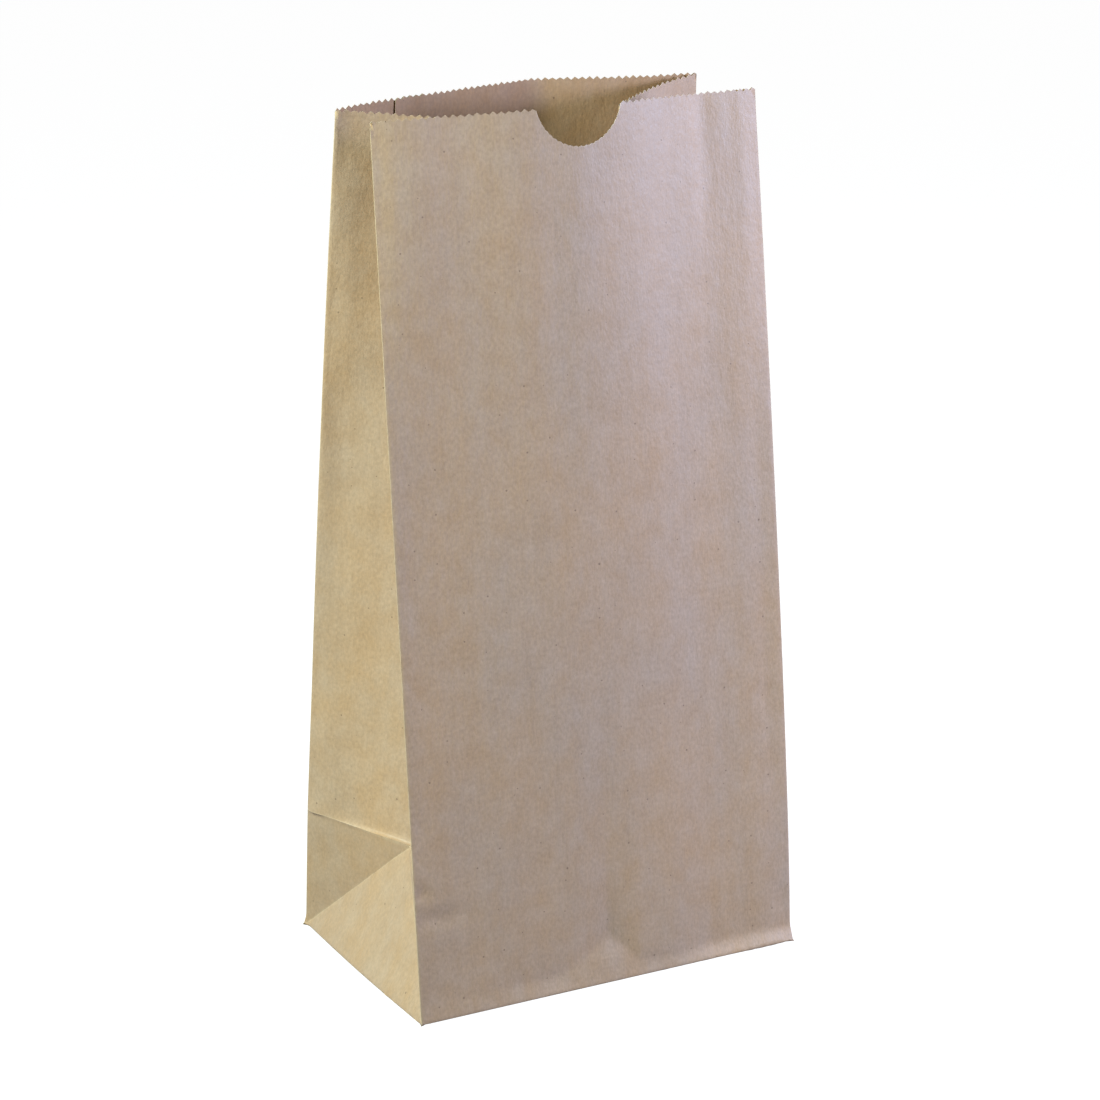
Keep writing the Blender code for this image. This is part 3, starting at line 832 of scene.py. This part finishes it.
def kraft_inside():
    """The felt side inside the bag is duller; its browner, darker tone is partly the felt side's own and partly
    painted shade of the bag's inside.
    """
    return kraft("kraft_inside", "#B6936E", "#B19172", "#C8AC86", "#5A4633", 0.8)


def kraft_edge():
    """Cut edge: the sheet's own pale core of fibre."""
    return kraft("kraft_edge", "#C4B498", "#C0B29C", "#D8CCB4", "#8A7458", 0.9)


# Studio


CAMERA_PLACE = (-0.4423, -0.8289, 0.4206)
CAMERA_YAW = -28.118
CAMERA_PITCH = -17.166
CAMERA_LENS = 102.6
SENSOR = 36.0


def add_camera():
    data = bpy.data.cameras.new("camera")
    data.lens = CAMERA_LENS
    data.sensor_width = SENSOR
    data.clip_start = 0.05
    camera = bpy.data.objects.new("camera", data)
    camera.location = CAMERA_PLACE
    camera.rotation_euler = (radians(90 + CAMERA_PITCH), 0, radians(CAMERA_YAW))
    bpy.context.scene.collection.objects.link(camera)
    bpy.context.scene.camera = camera


def add_lamp(name, place, aim, size, power, code):
    data = bpy.data.lights.new(name, "AREA")
    data.shape = "DISK"
    data.size = size
    data.energy = power
    data.color = colour(code)[:3]
    lamp = bpy.data.objects.new(name, data)
    lamp.location = place
    lamp.rotation_euler = (Vector(aim) - Vector(place)).to_track_quat("-Z", "Y").to_euler()
    lamp.visible_camera = False
    bpy.context.scene.collection.objects.link(lamp)


def white_to_camera(tree, lit, glow):
    """Shader that adds a plain glow to lit where the camera, a gloss or a clear surface sees it."""
    rays = add(tree, "ShaderNodeLightPath").outputs
    seen = add(tree, "ShaderNodeMath", ((0, rays["Is Camera Ray"]), (1, rays["Is Glossy Ray"])), operation="MAXIMUM")
    seen = add(tree, "ShaderNodeMath", ((0, seen.outputs[0]), (1, rays["Is Transmission Ray"])), operation="MAXIMUM")
    white = add(tree, "ShaderNodeEmission", (("Color", (1, 1, 1, 1)), ("Strength", glow)))
    both = add(tree, "ShaderNodeAddShader", ((0, lit), (1, white.outputs[0])))
    return add(tree, "ShaderNodeMixShader", ((0, seen.outputs[0]), (1, lit), (2, both.outputs[0]))).outputs[0]


FLOOR_SIZE = 14.0
FLOOR_SHADE = "#7C7C7C"
FLOOR_GLOW = 0.97
WORLD_LIGHT = 0.07


def add_floor():
    """Plain white studio floor that keeps the bag's shadow."""
    mesh = bpy.data.meshes.new("floor")
    half = FLOOR_SIZE / 2
    mesh.from_pydata([(-half, -half, 0), (half, -half, 0), (half, half, 0), (-half, half, 0)], [], [(0, 1, 2, 3)])
    floor = bpy.data.objects.new("floor", mesh)
    bpy.context.scene.collection.objects.link(floor)
    material = bpy.data.materials.new("studio_floor")
    material.use_nodes = True
    tree = material.node_tree
    tree.nodes.clear()
    matt = add(tree, "ShaderNodeBsdfDiffuse", (("Color", colour(FLOOR_SHADE)), ))
    output = add(tree, "ShaderNodeOutputMaterial")
    tree.links.new(white_to_camera(tree, matt.outputs[0], FLOOR_GLOW), output.inputs["Surface"])
    mesh.materials.append(material)


def add_world():
    world = bpy.data.worlds.new("studio")
    world.use_nodes = True
    tree = world.node_tree
    tree.nodes.clear()
    rays = add(tree, "ShaderNodeLightPath").outputs
    seen = add(tree, "ShaderNodeMath", ((0, rays["Is Camera Ray"]), (1, rays["Is Glossy Ray"])), operation="MAXIMUM")
    seen = add(tree, "ShaderNodeMath", ((0, seen.outputs[0]), (1, rays["Is Transmission Ray"])), operation="MAXIMUM")
    strength = add(tree, "ShaderNodeMapRange", (("Value", seen.outputs[0]), ("To Min", WORLD_LIGHT), ("To Max", 1.0)))
    sky = add(tree, "ShaderNodeBackground", (("Color", (1, 1, 1, 1)), ("Strength", strength.outputs["Result"])))
    output = add(tree, "ShaderNodeOutputWorld")
    tree.links.new(sky.outputs[0], output.inputs["Surface"])
    bpy.context.scene.world = world


add_bag()
add_floor()
add_world()
add_lamp("key_left", (-0.55, -0.06, 0.55), (0, 0, 0.14), 0.3, 7.5, "#EFFFF3")
add_lamp("fill_right", (0.60, -0.42, 0.35), (0, 0, 0.16), 0.22, 7.9, "#D1DAFF")
add_camera()
bpy.context.scene.view_settings.view_transform = "Standard"
